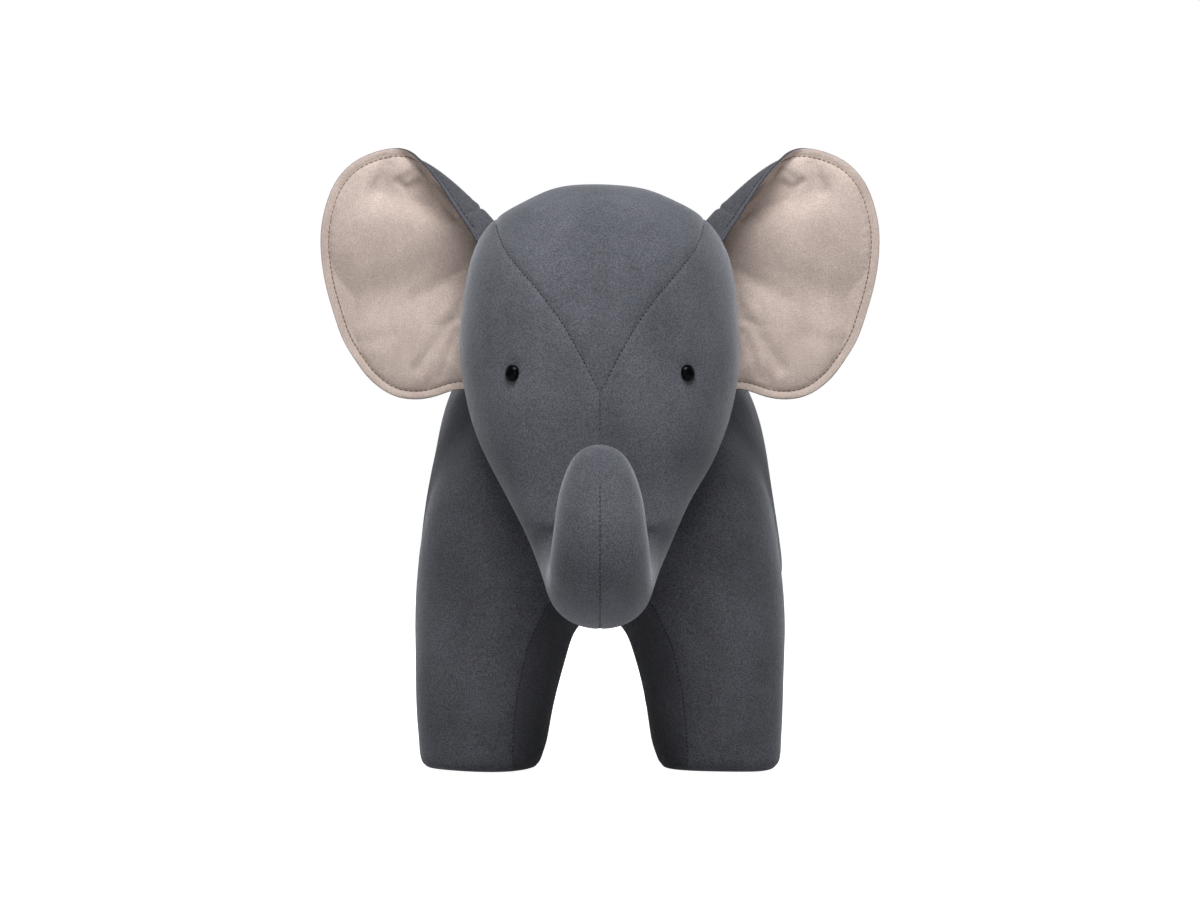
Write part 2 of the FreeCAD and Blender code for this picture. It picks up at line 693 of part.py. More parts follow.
tail_whole = tail_stack(tail_rows(0))
soft_part("tail_cover", tail_whole.cut(tail_stack(tail_rows(skin))))
soft_part("tail_stuffing", tail_stack(tail_rows(skin + gap)))
tuft_top = tail_foot - 0.3
tuft_rows = ((tuft_top, 6), (tuft_top - 8, 10), (tuft_top - 20, 12), (tuft_top - 34, 9),
             (tuft_top - size("tuft_length"), 3))
soft_part("tail_tuft", tail_stack(tuft_rows, 0.8))
rump_y = max(v.Point.y for v in body_outer.common(
    Part.makeLine(Vector(0, 200, root), Vector(0, 500, root))).Vertexes)
tab_box = box(-8, 8, rump_y - 12, tail_y - 3.6, root - 3, root + 3)
tail_tab = one_solid(tab_box.cut(body_keepout))
soft_part("tail_tab", tail_tab)
tail_link = Part.makeCylinder(3, 14, Vector(-7, tail_y, root), Vector(1, 0, 0))
soft_part("tail_loop", tail_link)

# ---------------------------------------------------------------- checks and export
doc.recompute()
pieces = [item for item in doc.Objects
          if item.TypeId in ("PartDesign::Body", "Part::Feature")]
for item in doc.Objects:
    if "Invalid" in item.State or "Error" in item.State:
        raise ValueError("%s is not computed" % item.Label)
for piece in pieces:
    shape = piece.Shape
    if shape.isNull() or not shape.isValid() or not shape.Solids:
        raise ValueError("%s has no valid solid" % piece.Label)
    print("%-24s %2d solids %10.0f mm3  %s" % (piece.Label, len(shape.Solids), shape.Volume,
                                             shape.BoundBox))
    shape.exportStep("parts/%s.step" % piece.Label)
print(len(pieces), "pieces")
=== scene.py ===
import math

import bmesh
import bpy
import numpy as np
from mathutils import Matrix, Vector
from mathutils.bvhtree import BVHTree


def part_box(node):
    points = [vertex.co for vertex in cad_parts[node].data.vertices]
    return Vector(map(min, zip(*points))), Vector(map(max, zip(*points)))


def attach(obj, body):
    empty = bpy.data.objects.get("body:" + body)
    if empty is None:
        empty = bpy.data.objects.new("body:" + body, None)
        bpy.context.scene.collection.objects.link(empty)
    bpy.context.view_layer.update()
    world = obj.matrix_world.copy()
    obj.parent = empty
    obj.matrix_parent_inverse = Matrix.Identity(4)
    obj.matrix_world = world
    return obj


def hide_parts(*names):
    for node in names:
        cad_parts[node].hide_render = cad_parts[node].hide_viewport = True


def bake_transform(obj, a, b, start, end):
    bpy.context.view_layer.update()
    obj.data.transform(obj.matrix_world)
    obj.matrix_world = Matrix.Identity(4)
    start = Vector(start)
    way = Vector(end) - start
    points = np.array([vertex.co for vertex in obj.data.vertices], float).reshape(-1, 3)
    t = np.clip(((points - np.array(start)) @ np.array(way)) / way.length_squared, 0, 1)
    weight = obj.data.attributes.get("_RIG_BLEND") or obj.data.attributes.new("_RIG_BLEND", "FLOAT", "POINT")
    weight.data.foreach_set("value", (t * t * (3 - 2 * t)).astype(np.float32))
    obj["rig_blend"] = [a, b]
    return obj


# Stuffed elephant: velvet covers over firm filling.  Metres; it faces -Y, +Z is up.
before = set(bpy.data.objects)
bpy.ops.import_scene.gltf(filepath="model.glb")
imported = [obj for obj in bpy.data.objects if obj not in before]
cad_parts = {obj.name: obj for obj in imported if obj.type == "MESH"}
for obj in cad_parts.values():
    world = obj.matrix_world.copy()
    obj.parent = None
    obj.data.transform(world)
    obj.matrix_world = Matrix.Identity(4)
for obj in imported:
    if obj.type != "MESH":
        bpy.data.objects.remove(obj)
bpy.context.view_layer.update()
MM = 0.001
MAIN = "elephant"
SIDES = (("left", 1), ("right", -1))
ENDS = (("front", -1), ("rear", 1))


# ------------------------------------------------------------ curves and meshes
def spline(knots, values, at):
    """Natural cubic spline through the values (rows) at the knots, read at the places `at`."""
    knots = np.asarray(knots, float)
    values = np.asarray(values, float).reshape(len(knots), -1)
    count = len(knots)
    gap = np.diff(knots)
    system = np.zeros((count, count))
    right = np.zeros_like(values)
    system[0, 0] = 1.0
    system[-1, -1] = 1.0
    for i in range(1, count - 1):
        system[i, i - 1] = gap[i - 1]
        system[i, i] = 2 * (gap[i - 1] + gap[i])
        system[i, i + 1] = gap[i]
        rise = (values[i + 1] - values[i]) / gap[i] - (values[i] - values[i - 1]) / gap[i - 1]
        right[i] = 6 * rise
    second = np.linalg.solve(system, right)
    at = np.clip(np.asarray(at, float), knots[0], knots[-1])
    cell = np.clip(np.searchsorted(knots, at) - 1, 0, count - 2)
    width = gap[cell][:, None]
    a = (knots[cell + 1] - at)[:, None] / width
    b = 1 - a
    bend = (a**3 - a) * second[cell] + (b**3 - b) * second[cell + 1]
    return a * values[cell] + b * values[cell + 1] + bend * width**2 / 6


def dense_rows(rows, count, travel):
    """Rows resampled evenly along the path length measured over the columns in `travel`."""
    rows = np.asarray(rows, float)
    step = np.linalg.norm(np.diff(rows[:, travel], axis=0), axis=1)
    knots = np.concatenate([[0], np.cumsum(step)])
    return spline(knots, rows, np.linspace(0, knots[-1], count))


def ring_points(half, depth, power, around):
    turn = 2 * np.pi * np.arange(around) / around - np.pi / 2
    cos, sin = np.cos(turn), np.sin(turn)
    across = half * np.sign(cos) * np.abs(cos) ** (2 / power)
    along = depth * np.sign(sin) * np.abs(sin) ** (2 / power)
    across[np.abs(cos) < 1e-9] = 0
    return across, along


def stack_mesh(name, rings, caps=True):
    """A mesh from a list of rings with the same number of points; the ends are closed by fans."""
    rings = np.asarray(rings)
    layers, around, _ = rings.shape
    points = rings.reshape(-1, 3).tolist()
    faces = []
    for layer in range(layers - 1):
        for i in range(around):
            j = (i + 1) % around
            low, high = layer * around, (layer + 1) * around
            faces.append((low + i, low + j, high + j, high + i))
    if caps:
        for layer, flip in ((0, False), (layers - 1, True)):
            middle = len(points)
            points.append(rings[layer].mean(axis=0).tolist())
            for i in range(around):
                j = (i + 1) % around
                corner = (layer * around + j, layer * around + i, middle)
                faces.append(corner[::-1] if flip else corner)
    mesh = bpy.data.meshes.new(name)
    mesh.from_pydata(points, [], faces)
    mesh.update()
    return mesh


def add_object(name, mesh):
    piece = bpy.data.objects.new(name, mesh)
    bpy.context.scene.collection.objects.link(piece)
    return piece


def coords(mesh):
    flat = np.empty(len(mesh.vertices) * 3, np.float32)
    mesh.vertices.foreach_get("co", flat)
    return flat.reshape(-1, 3).astype(float)


def set_coords(mesh, points):
    mesh.vertices.foreach_set("co", np.asarray(points, np.float32).ravel())
    mesh.update()


def normals(mesh):
    flat = np.empty(len(mesh.vertices) * 3, np.float32)
    mesh.vertex_normals.foreach_get("vector", flat)
    return flat.reshape(-1, 3).astype(float)


def apply_modifiers(piece):
    graph = bpy.context.evaluated_depsgraph_get()
    made = bpy.data.meshes.new_from_object(piece.evaluated_get(graph))
    piece.modifiers.clear()
    old = piece.data
    piece.data = made
    bpy.data.meshes.remove(old)


def smooth_shade(mesh):
    mesh.polygons.foreach_set("use_smooth", [True] * len(mesh.polygons))


def relax(mesh, rounds, weight=0.5):
    """Laplacian smoothing that swells back a little after each round, so little size is lost."""
    edges = np.empty(len(mesh.edges) * 2, np.int32)
    mesh.edges.foreach_get("vertices", edges)
    edges = edges.reshape(-1, 2)
    points = coords(mesh)
    degree = np.bincount(edges.ravel(), minlength=len(points))[:, None]
    for step in range(rounds * 2):
        total = np.zeros_like(points)
        np.add.at(total, edges[:, 0], points[edges[:, 1]])
        np.add.at(total, edges[:, 1], points[edges[:, 0]])
        amount = weight if step % 2 == 0 else -weight * 1.02
        points += amount * (total / np.maximum(degree, 1) - points)
    set_coords(mesh, points)


SEAM_SNAP = 0.0004  # a vertex this near a seam line counts as on it


def split_along(bm, value):
    """Adds edges to bm along the line where value(co) is 0; needs the vertex layer "seam"."""
    layer = bm.verts.layers.float["seam"]
    for vert in bm.verts:
        level = value(vert.co)
        vert[layer] = 0.0 if abs(level) < SEAM_SNAP else level
    crossing = [e for e in bm.edges if e.verts[0][layer] * e.verts[1][layer] < 0]
    for edge in crossing:
        first, second = edge.verts
        part = first[layer] / (first[layer] - second[layer])
        _, fresh = bmesh.utils.edge_split(edge, first, part)
        fresh[layer] = 0.0
    for face in list(bm.faces):
        loops = list(face.loops)
        on_line = [i for i, loop in enumerate(loops) if loop.vert[layer] == 0.0]
        if len(on_line) != 2:
            continue
        i, j = on_line
        if j - i in (1, len(loops) - 1):
            continue
        bmesh.utils.face_split(face, loops[i].vert, loops[j].vert)


def seam_groove(points, normal, distance, depth, width, pucker=0.0, pitch=0.013):
    """Pulls points in near a seam, with small gathers across it."""
    distance = np.abs(distance)
    pull = depth * np.exp(-distance / width)
    if pucker:
        run = points @ np.array([0.55, 0.35, 0.76])
        wave = np.sin(2 * np.pi * run / pitch) + 0.6 * np.sin(2 * np.pi * run / (pitch * 0.63))
        fade = np.exp(-((distance - width) ** 2) / (2 * (1.2 * width) ** 2))
        pull = pull + pucker * wave * fade
    return points - normal * pull[:, None]


def lumps(points, scale, seed):
    """Slow smooth variation between about -1 and 1, the same on every run."""
    rng = np.random.default_rng(seed)
    total = np.zeros(len(points))
    for _ in range(7):
        direction = rng.normal(size=3)
        direction /= np.linalg.norm(direction)
        phase = rng.uniform(0, 2 * np.pi)
        total += np.sin(points @ direction * (2 * np.pi / scale) * rng.uniform(0.6, 1.5) + phase)
    return total / 3.2


# ------------------------------------------------------------ velvet and other materials
def new_material(name):
    material = bpy.data.materials.new(name)
    material.use_nodes = True
    tree = material.node_tree
    return material, tree, tree.nodes["Principled BSDF"]


def noise(tree, scale, detail=3.0, rough=0.5, stretch=None):
    place = tree.nodes.new("ShaderNodeTexCoord")
    texture = tree.nodes.new("ShaderNodeTexNoise")
    texture.inputs["Scale"].default_value = scale
    texture.inputs["Detail"].default_value = detail
    texture.inputs["Roughness"].default_value = rough
    if stretch:
        mapping = tree.nodes.new("ShaderNodeMapping")
        mapping.inputs["Scale"].default_value = stretch
        tree.links.new(place.outputs["Object"], mapping.inputs["Vector"])
        tree.links.new(mapping.outputs["Vector"], texture.inputs["Vector"])
    else:
        tree.links.new(place.outputs["Object"], texture.inputs["Vector"])
    return texture.outputs["Fac"]


def ramp(tree, source, stops):
    node = tree.nodes.new("ShaderNodeValToRGB")
    while len(node.color_ramp.elements) < len(stops):
        node.color_ramp.elements.new(0.5)
    for element, (position, colour) in zip(node.color_ramp.elements, stops):
        element.position = position
        element.color = (*colour, 1)
    tree.links.new(source, node.inputs["Fac"])
    return node.outputs["Color"]


def multiply(tree, first, second, amount):
    node = tree.nodes.new("ShaderNodeMix")
    node.data_type = "RGBA"
    node.blend_type = "MULTIPLY"
    node.inputs["Factor"].default_value = amount
    tree.links.new(first, node.inputs["A"])
    tree.links.new(second, node.inputs["B"])
    return node.outputs["Result"]


def bump(tree, layers):
    """Chained bumps; layers are (height output, strength, distance in metres)."""
    normal = None
    for height, strength, distance in layers:
        node = tree.nodes.new("ShaderNodeBump")
        node.inputs["Strength"].default_value = strength
        node.inputs["Distance"].default_value = distance
        tree.links.new(height, node.inputs["Height"])
        if normal:
            tree.links.new(normal, node.inputs["Normal"])
        normal = node.outputs["Normal"]
    return normal


def velvet(name, dark, light, sheen, sheen_tint, grain):
    """Short pile: mottled nap, a fine grain and a soft sheen towards the edges."""
    material, tree, shader = new_material(name)
    nap = ramp(tree, noise(tree, 14, 4, 0.55), ((0.32, dark), (0.68, light)))
    strokes = ramp(tree, noise(tree, 60, 3, 0.6, (1.0, 1.0, 0.45)),
                   ((0.3, (0.86,) * 3), (0.7, (1.0,) * 3)))
    pile = ramp(tree, noise(tree, 820, 1, 0.5), ((0.38, (1 - grain,) * 3), (0.62, (1.0,) * 3)))
    colour = multiply(tree, multiply(tree, nap, strokes, 0.75), pile, 0.9)
    tree.links.new(colour, shader.inputs["Base Color"])
    shader.inputs["Roughness"].default_value = 0.92
    shader.inputs["Specular IOR Level"].default_value = 0.18
    shader.inputs["Sheen Weight"].default_value = sheen
    shader.inputs["Sheen Roughness"].default_value = 0.38
    shader.inputs["Sheen Tint"].default_value = (*sheen_tint, 1)
    normal = bump(tree, (
        (noise(tree, 900, 3, 0.7), 0.55, 0.0007),
        (noise(tree, 70, 3, 0.6), 0.30, 0.0016),
    ))
    tree.links.new(normal, shader.inputs["Normal"])
    return material


def plain(name, dark, light, scale, roughness, bump_scale=400, bump_depth=0.0004, stretch=None,
          metallic=0.0):
    material, tree, shader = new_material(name)
    colour = ramp(tree, noise(tree, scale, 5, 0.6, stretch), ((0.3, dark), (0.7, light)))
    tree.links.new(colour, shader.inputs["Base Color"])
    shader.inputs["Roughness"].default_value = roughness
    shader.inputs["Metallic"].default_value = metallic
    normal = bump(tree, ((noise(tree, bump_scale, 3, 0.6, stretch), 0.5, bump_depth),))
    tree.links.new(normal, shader.inputs["Normal"])
    return material


SHEEN_GREY = (0.72, 0.76, 0.82)
# One grey velvet in three copies. velvet_grey on the head and tail is the brightest. The body copy is made
# darker as painted shade on the body, legs and ear backs. The under copy is darker still, as deeper painted
# shade on the belly gusset between the legs.
GREY = velvet("velvet_grey", (0.080, 0.084, 0.099), (0.116, 0.120, 0.140), 0.42, SHEEN_GREY, 0.50)
GREY_PAINTED_SHADE = velvet("velvet_grey_painted_shade", (0.063, 0.065, 0.076), (0.089, 0.091, 0.106), 0.36,
                   SHEEN_GREY, 0.55)
GREY_PAINTED_DEEP_SHADE = velvet("velvet_grey_painted_deep_shade", (0.042, 0.043, 0.051), (0.060, 0.061, 0.072), 0.25,
                    SHEEN_GREY, 0.45)
BEIGE = velvet("velvet_beige", (0.435, 0.354, 0.316), (0.522, 0.432, 0.389), 0.28,
               (1.0, 0.95, 0.92), 0.22)
THREAD = plain("thread_grey", (0.012, 0.012, 0.015), (0.024, 0.024, 0.028), 300, 0.8, 2500,
               0.0001)
THREAD.node_tree.nodes["Principled BSDF"].inputs["Specular IOR Level"].default_value = 0.08
THREAD_BROWN = plain("thread_brown", (0.13, 0.082, 0.058), (0.20, 0.135, 0.10), 300, 0.8, 2500,
                     0.0001)
YARN = plain("tail_yarn", (0.06, 0.06, 0.072), (0.11, 0.11, 0.13), 220, 0.85, 1500, 0.0002)
WOOD = plain("timber", (0.52, 0.33, 0.16), (0.66, 0.46, 0.25), 18, 0.6, 260, 0.0003,
             (4, 4, 0.35))
PLY = plain("plywood", (0.50, 0.34, 0.19), (0.66, 0.49, 0.31), 16, 0.55, 260, 0.0003,
            (0.4, 4, 4))
STEEL = plain("screw_steel", (0.45, 0.45, 0.46), (0.62, 0.62, 0.63), 200, 0.32, 900, 0.0001,
              None, 1.0)
GLIDE = plain("glide_plastic", (0.020, 0.020, 0.022), (0.032, 0.032, 0.034), 120, 0.5, 600,
              0.0001)
WASHER = plain("washer_plastic", (0.70, 0.70, 0.68), (0.80, 0.80, 0.78), 120, 0.5, 600, 0.0001)
EYE = plain("eye_black", (0.0012, 0.0012, 0.0014), (0.0024, 0.0024, 0.0027), 200, 0.06, 90,
            0.00001)
EYE.node_tree.nodes["Principled BSDF"].inputs["Specular IOR Level"].default_value = 0.05


def finish_piece(piece, material, slot, body, *nodes):
    piece.data.materials.clear()
    piece.data.materials.append(material)
    smooth_shade(piece.data)
    piece.data.set_sharp_from_angle(angle=math.radians(50))
    if body:
        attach(piece, body)
    if nodes:
        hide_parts(*nodes)
    return piece


# ------------------------------------------------------------ head and trunk surface
# Rows: centre y, centre z, tilt in degrees, half width, half depth, squareness (mm).
def head_row(z, half, front, back, power):
    return ((front + back) / 2, z, 0, half, (back - front) / 2, power)


# The trunk turns up round this point (mm).
TRUNK_BEND_Y = -273
TRUNK_BEND_Z = 237
TRUNK_BEND_RADIUS = 50


def bend_row(turn, half, depth):
    angle = math.radians(turn)
    y = TRUNK_BEND_Y + TRUNK_BEND_RADIUS * math.cos(angle)
    z = TRUNK_BEND_Z - TRUNK_BEND_RADIUS * math.sin(angle)
    return (y, z, turn, half, depth, 2.05)


HEAD_ROWS = [
    head_row(544.0, 1.0, -140, -138, 2.0),
    head_row(542.6, 20.0, -160, -119, 2.0),
    head_row(539.0, 42.0, -182, -98, 2.05),
    head_row(529.0, 67.0, -204, -76, 2.1),
    head_row(510.0, 98.0, -225, -53, 2.2),
    head_row(482.0, 115.5, -242, -37, 2.3),
    head_row(442.0, 125.0, -254, -28, 2.35),
    head_row(400.0, 128.0, -260, -27, 2.35),
    head_row(360.0, 125.0, -263, -37, 2.3),
    head_row(328.0, 118.0, -264.5, -58, 2.25),
    head_row(298.0, 105.5, -266, -90, 2.2),
    head_row(268.0, 89.0, -267, -130, 2.12),
]
TRUNK_ROWS = [
    bend_row(0, 72.0, 46.0), bend_row(30, 60.0, 44.5), bend_row(60, 51.5, 43.5),
    bend_row(90, 47.0, 43.0), bend_row(120, 44.5, 42.5), bend_row(150, 42.5, 42.0),
    (-323, 237, 180, 38.8, 41.0, 2.05), (-323, 258, 180, 35.8, 38.0, 2.05),
    (-323, 275, 180, 31.2, 33.0, 2.05), (-323, 290, 180, 24.5, 25.0, 2.05),
    (-323, 300, 180, 15.5, 15.5, 2.05), (-323, 305, 180, 1.0, 1.0, 2.0),
]
HEAD_AROUND = 168
HEAD_LAYERS = 190


def head_mesh():
    rows = dense_rows(HEAD_ROWS + TRUNK_ROWS, HEAD_LAYERS, [0, 1, 3])
    rings = []
    for y, z, turn, half, depth, power in rows:
        across, along = ring_points(max(half, 0.8), max(depth, 0.8), power, HEAD_AROUND)
        angle = -math.radians(turn)
        ring = np.empty((HEAD_AROUND, 3))
        ring[:, 0] = across
        ring[:, 1] = y + along * math.cos(angle)
        ring[:, 2] = z + along * math.sin(angle)
        rings.append(ring * MM)
    return stack_mesh("head", rings[::-1])


# Half width of the forehead gusset against height, from its point upwards.
GUSSET_FOOT = 0.350
GUSSET = np.array(((350, 0), (383, 17), (410, 32), (436, 51), (455, 67), (470, 79),
                   (480, 85.5), (490, 90), (500, 93), (512, 95), (600, 95))) * MM


def gusset_level(co):
    if co.z < GUSSET_FOOT:
        return abs(co.x) + (GUSSET_FOOT - co.z)
    return abs(co.x) - np.interp(co.z, GUSSET[:, 0], GUSSET[:, 1])


# ------------------------------------------------------------ body surface
TORSO_ROWS = (
    (146, 0.700, 0.672, 0.680, 5.0), (152, 0.850, 0.816, 0.803, 5.0),
    (165, 0.960, 0.910, 0.918, 5.0), (180, 0.990, 0.959, 0.967, 5.0),
    (205, 0.985, 0.988, 0.992, 4.6), (252, 0.955, 1.000, 1.000, 4.0),
    (300, 0.913, 0.988, 0.980, 3.5), (348, 0.847, 0.943, 0.914, 3.1),
    (385, 0.738, 0.861, 0.803, 2.8), (412, 0.582, 0.730, 0.648, 2.5),
    (428, 0.395, 0.566, 0.455, 2.3), (436, 0.220, 0.406, 0.250, 2.2),
    (438, 0.040, 0.120, 0.040, 2.1),
)
LEG_ROWS = (
    (2.5, 60.0, 162.0, -134, -26), (5, 57.3, 165.2, -138, -22), (10, 55.5, 167.8, -140, -20),
    (19, 52.2, 169.0, -140, -18), (46, 46.5, 171.0, -141, -15), (84, 38.2, 173.2, -141, -8),
    (112, 30.6, 174.0, -141, 2), (131, 23.0, 174.5, -140, 14), (145, 10.0, 174.5, -140, 26),
    (160, 2.0, 174.5, -139, 42), (185, 2.0, 173.0, -137, 50), (215, 4.0, 170.0, -134, 57),
    (252, 12.0, 163.0, -126, 60), (285, 28.0, 150.0, -114, 56), (308, 50.0, 132.0, -96, 44),
)
BODY_MID = 104
BODY_HALF = 177
BODY_REACH = 244
VOXEL = 0.005


def torso_mesh():
    rows = dense_rows([(z, w * BODY_HALF, f * BODY_REACH, r * BODY_REACH, p)
                       for z, w, f, r, p in TORSO_ROWS], 90, [0, 1, 2])
    rings = []
    for z, half, front, rear, power in rows:
        across, along = ring_points(half, (front + rear) / 2, power, 160)
        ring = np.empty((160, 3))
        ring[:, 0] = across
        ring[:, 1] = BODY_MID + (rear - front) / 2 + along
        ring[:, 2] = z
        rings.append(ring * MM)
    return stack_mesh("torso", rings)


def leg_mesh(across_sign, along_sign):
    rows = dense_rows(LEG_ROWS, 60, [0, 1, 3])
    rings = []
    for z, inner, outer, front, back in rows:
        across, along = ring_points((outer - inner) / 2, (back - front) / 2, 2.5, 96)
        ring = np.empty((96, 3))
        ring[:, 0] = ((inner + outer) / 2 + across) * across_sign
        y = (front + back) / 2 + along
        ring[:, 1] = y if along_sign < 0 else 2 * BODY_MID - y
        ring[:, 2] = z
        rings.append(ring * MM)
    if across_sign * along_sign > 0:
        rings = [ring[::-1] for ring in rings]
    return stack_mesh("leg", rings)


def join(meshes, name):
    bm = bmesh.new()
    for mesh in meshes:
        bm.from_mesh(mesh)
        bpy.data.meshes.remove(mesh)
    bmesh.ops.recalc_face_normals(bm, faces=bm.faces)
    mesh = bpy.data.meshes.new(name)
    bm.to_mesh(mesh)
    bm.free()
    return mesh


def remeshed(mesh, voxel):
    piece = add_object("remesh_" + mesh.name, mesh)
    modifier = piece.modifiers.new("voxels", "REMESH")
    modifier.mode = "VOXEL"
    modifier.voxel_size = voxel
    apply_modifiers(piece)
    made = piece.data
    bpy.data.objects.remove(piece)
    return made


# Half widths (mm) against height of the belly gusset and of the back panel.
ARCH = np.array(((-5, 81), (40, 80), (76, 76), (118, 67), (155, 50), (184, 26), (201, 0))) * MM
STRIP = np.array(((203, 0), (232, 34), (285, 58), (345, 69), (450, 72))) * MM
ARCH_TOP = 0.201
STRIP_FOOT = 0.203
BACK_START = -0.060
SOLE_TOP = 0.0055


def arch_level(co):
    if co.z > ARCH_TOP:
        return abs(co.x) + (co.z - ARCH_TOP)
    return abs(co.x) - np.interp(co.z, ARCH[:, 0], ARCH[:, 1])


def strip_level(co):
    if co.z < STRIP_FOOT:
        side = abs(co.x) + (STRIP_FOOT - co.z)
    else:
        side = abs(co.x) - np.interp(co.z, STRIP[:, 0], STRIP[:, 1])
    return max(side, BACK_START - co.y)


def sole_level(co):
    return co.z - SOLE_TOP


def split_mesh(mesh, levels):
    bm = bmesh.new()
    bm.from_mesh(mesh)
    bm.verts.layers.float.new("seam")
    for level in levels:
        split_along(bm, level)
    bm.verts.layers.float.remove(bm.verts.layers.float["seam"])
    bm.to_mesh(mesh)
    bm.free()


def face_regions(mesh, name_of):
    """Groups face indices by the name that name_of gives for each face centre."""
    groups = {}
    for face in mesh.polygons:
        groups.setdefault(name_of(face.center), []).append(face.index)
    return groups


def panel(mesh, faces, name, thick=0.0018):
    """The given faces as a piece of its own, with the thickness of the cloth."""
    bm = bmesh.new()
    bm.from_mesh(mesh)
    bm.faces.ensure_lookup_table()
    keep = set(faces)
    bmesh.ops.delete(bm, geom=[f for f in bm.faces if f.index not in keep], context="FACES")
    made = bpy.data.meshes.new(name)
    bm.to_mesh(made)
    bm.free()
    piece = add_object(name, made)
    shell = piece.modifiers.new("cloth", "SOLIDIFY")
    shell.thickness = thick
    shell.offset = -1
    apply_modifiers(piece)
    return piece


# ------------------------------------------------------------ stitches
def stitch_row(name, path, normal, material, length=0.0026, gap=0.0015, radius=0.00038,
               sink=0.0001):
    """Short sewn stitches along a path of points with the surface normal at each."""
    path = np.asarray(path, float)
    normal = np.asarray(normal, float)
    run = np.concatenate([[0], np.cumsum(np.linalg.norm(np.diff(path, axis=0), axis=1))])
    bm = bmesh.new()
    start = gap
    sides = 6
    profile = ((0.0, 0.35), (0.18, 0.85), (0.5, 1.0), (0.82, 0.85), (1.0, 0.35))
    while start + length < run[-1]:
        at = np.array([start + length * part for part, _ in profile])
        centre = np.stack([np.interp(at, run, path[:, k]) for k in range(3)], 1)
        up = np.stack([np.interp(at, run, normal[:, k]) for k in range(3)], 1)
        ahead = centre[-1] - centre[0]
        ahead /= np.linalg.norm(ahead) + 1e-12
        rings = []
        for (part, fat), place, lift in zip(profile, centre, up):
            lift = lift / (np.linalg.norm(lift) + 1e-12)
            side = np.cross(ahead, lift)
            hump = math.sin(math.pi * part) * radius * 0.9 - sink
            ring = []
            for k in range(sides):
                turn = 2 * math.pi * k / sides
                spot = place + lift * (hump + math.sin(turn) * radius * fat)
                spot = spot + side * math.cos(turn) * radius * fat * 1.25
                ring.append(bm.verts.new(spot.tolist()))
            rings.append(ring)
        for low, high in zip(rings, rings[1:]):
            for k in range(sides):
                bm.faces.new((low[k], low[(k + 1) % sides], high[(k + 1) % sides], high[k]))
        bm.faces.new(rings[0][::-1])
        bm.faces.new(rings[-1])
        start += length + gap
    bmesh.ops.recalc_face_normals(bm, faces=bm.faces)
    mesh = bpy.data.meshes.new(name)
    bm.to_mesh(mesh)
    bm.free()
    piece = add_object(name, mesh)
    mesh.materials.append(material)
    smooth_shade(mesh)
    return piece


def tree_of(mesh):
    return BVHTree.FromPolygons([v.co for v in mesh.vertices],
                                [tuple(p.vertices) for p in mesh.polygons])


def cast(tree, origins, direction):
    spots, ups = [], []
    for origin in origins:
        spot, up, _, _ = tree.ray_cast(Vector(origin), Vector(direction), 2.0)
        if spot is not None:
            spots.append(list(spot))
            ups.append(list(up if up.dot(Vector(direction)) < 0 else -up))
    return spots, ups


# ------------------------------------------------------------ body pieces
body_base = join([torso_mesh()] + [leg_mesh(a, b) for _, b in ENDS for _, a in SIDES], "body")
body_base = remeshed(body_base, VOXEL)
relax(body_base, 14)
split_mesh(body_base, (arch_level, strip_level, sole_level))
finer = add_object("body_fine", body_base)
finer.modifiers.new("finer", "SUBSURF").levels = 1
apply_modifiers(finer)
body_base = finer.data
bpy.data.objects.remove(finer)


def body_levels(points):
    """Distances, about, to the arch seam, the strip seam and the chest middle seam."""
    x, y, z = np.abs(points[:, 0]), points[:, 1], points[:, 2]
    arch = np.where(z > ARCH_TOP, np.hypot(x, z - ARCH_TOP),
                    np.abs(x - np.interp(z, ARCH[:, 0], ARCH[:, 1])) * 0.9)
    arch = arch + 0.012 * np.clip((0.020 - z) / 0.014, 0, 1)
    strip = np.where(z < STRIP_FOOT, np.hypot(x, STRIP_FOOT - z),
                     (x - np.interp(z, STRIP[:, 0], STRIP[:, 1])) * 0.85)
    strip = np.where(y < BACK_START, 1.0, strip)
    middle = np.where((y < BACK_START) & (z > ARCH_TOP), x, 1.0)
    return arch, strip, middle


points = coords(body_base)
normal = normals(body_base)
arch, strip, middle = body_levels(points)
points = seam_groove(points, normal, arch, 0.0015, 0.0026, 0.0002)
points = seam_groove(points, normal, strip, 0.0015, 0.0026, 0.0002)
points = seam_groove(points, normal, middle, 0.0015, 0.0026)
points += normal * (lumps(points, 0.11, 3) * 0.0009)[:, None]
sole_edge = np.abs(points[:, 2] - SOLE_TOP)
points = seam_groove(points, normal, sole_edge, 0.0008, 0.0020)
set_coords(body_base, points)


def body_region(centre):
    if centre.z < SOLE_TOP:
        end = "front" if centre.y < BODY_MID * MM else "rear"
        side = "left" if centre.x > 0 else "right"
        return "foot_sole_%s_%s" % (end, side)
    if arch_level(centre) < 0:
        return "belly_gusset"
    if strip_level(centre) < 0:
        return "back_panel"
    return "body_side_left" if centre.x > 0 else "body_side_right"


STANDS_FOR = {
    "belly_gusset": ["leg_foam_%s_%s" % (end, side) for end, _ in ENDS for side, _ in SIDES],
    "back_panel": ["torso_foam"],
    "forehead_gusset": ["head_stuffing"],
    "head_side_left": ["trunk_stuffing"],
}
body_tree = tree_of(body_base)
for name, faces in sorted(face_regions(body_base, body_region).items()):
    piece = panel(body_base, faces, name + "_cover")
    # The belly gusset gets the darkest grey copy as painted shade between the legs; the other body panels
    # get the darker copy as painted shade.
    nap = GREY_PAINTED_DEEP_SHADE if name == "belly_gusset" else GREY_PAINTED_SHADE
    finish_piece(piece, nap, "velvet_grey", MAIN, name, *STANDS_FOR.get(name, []))

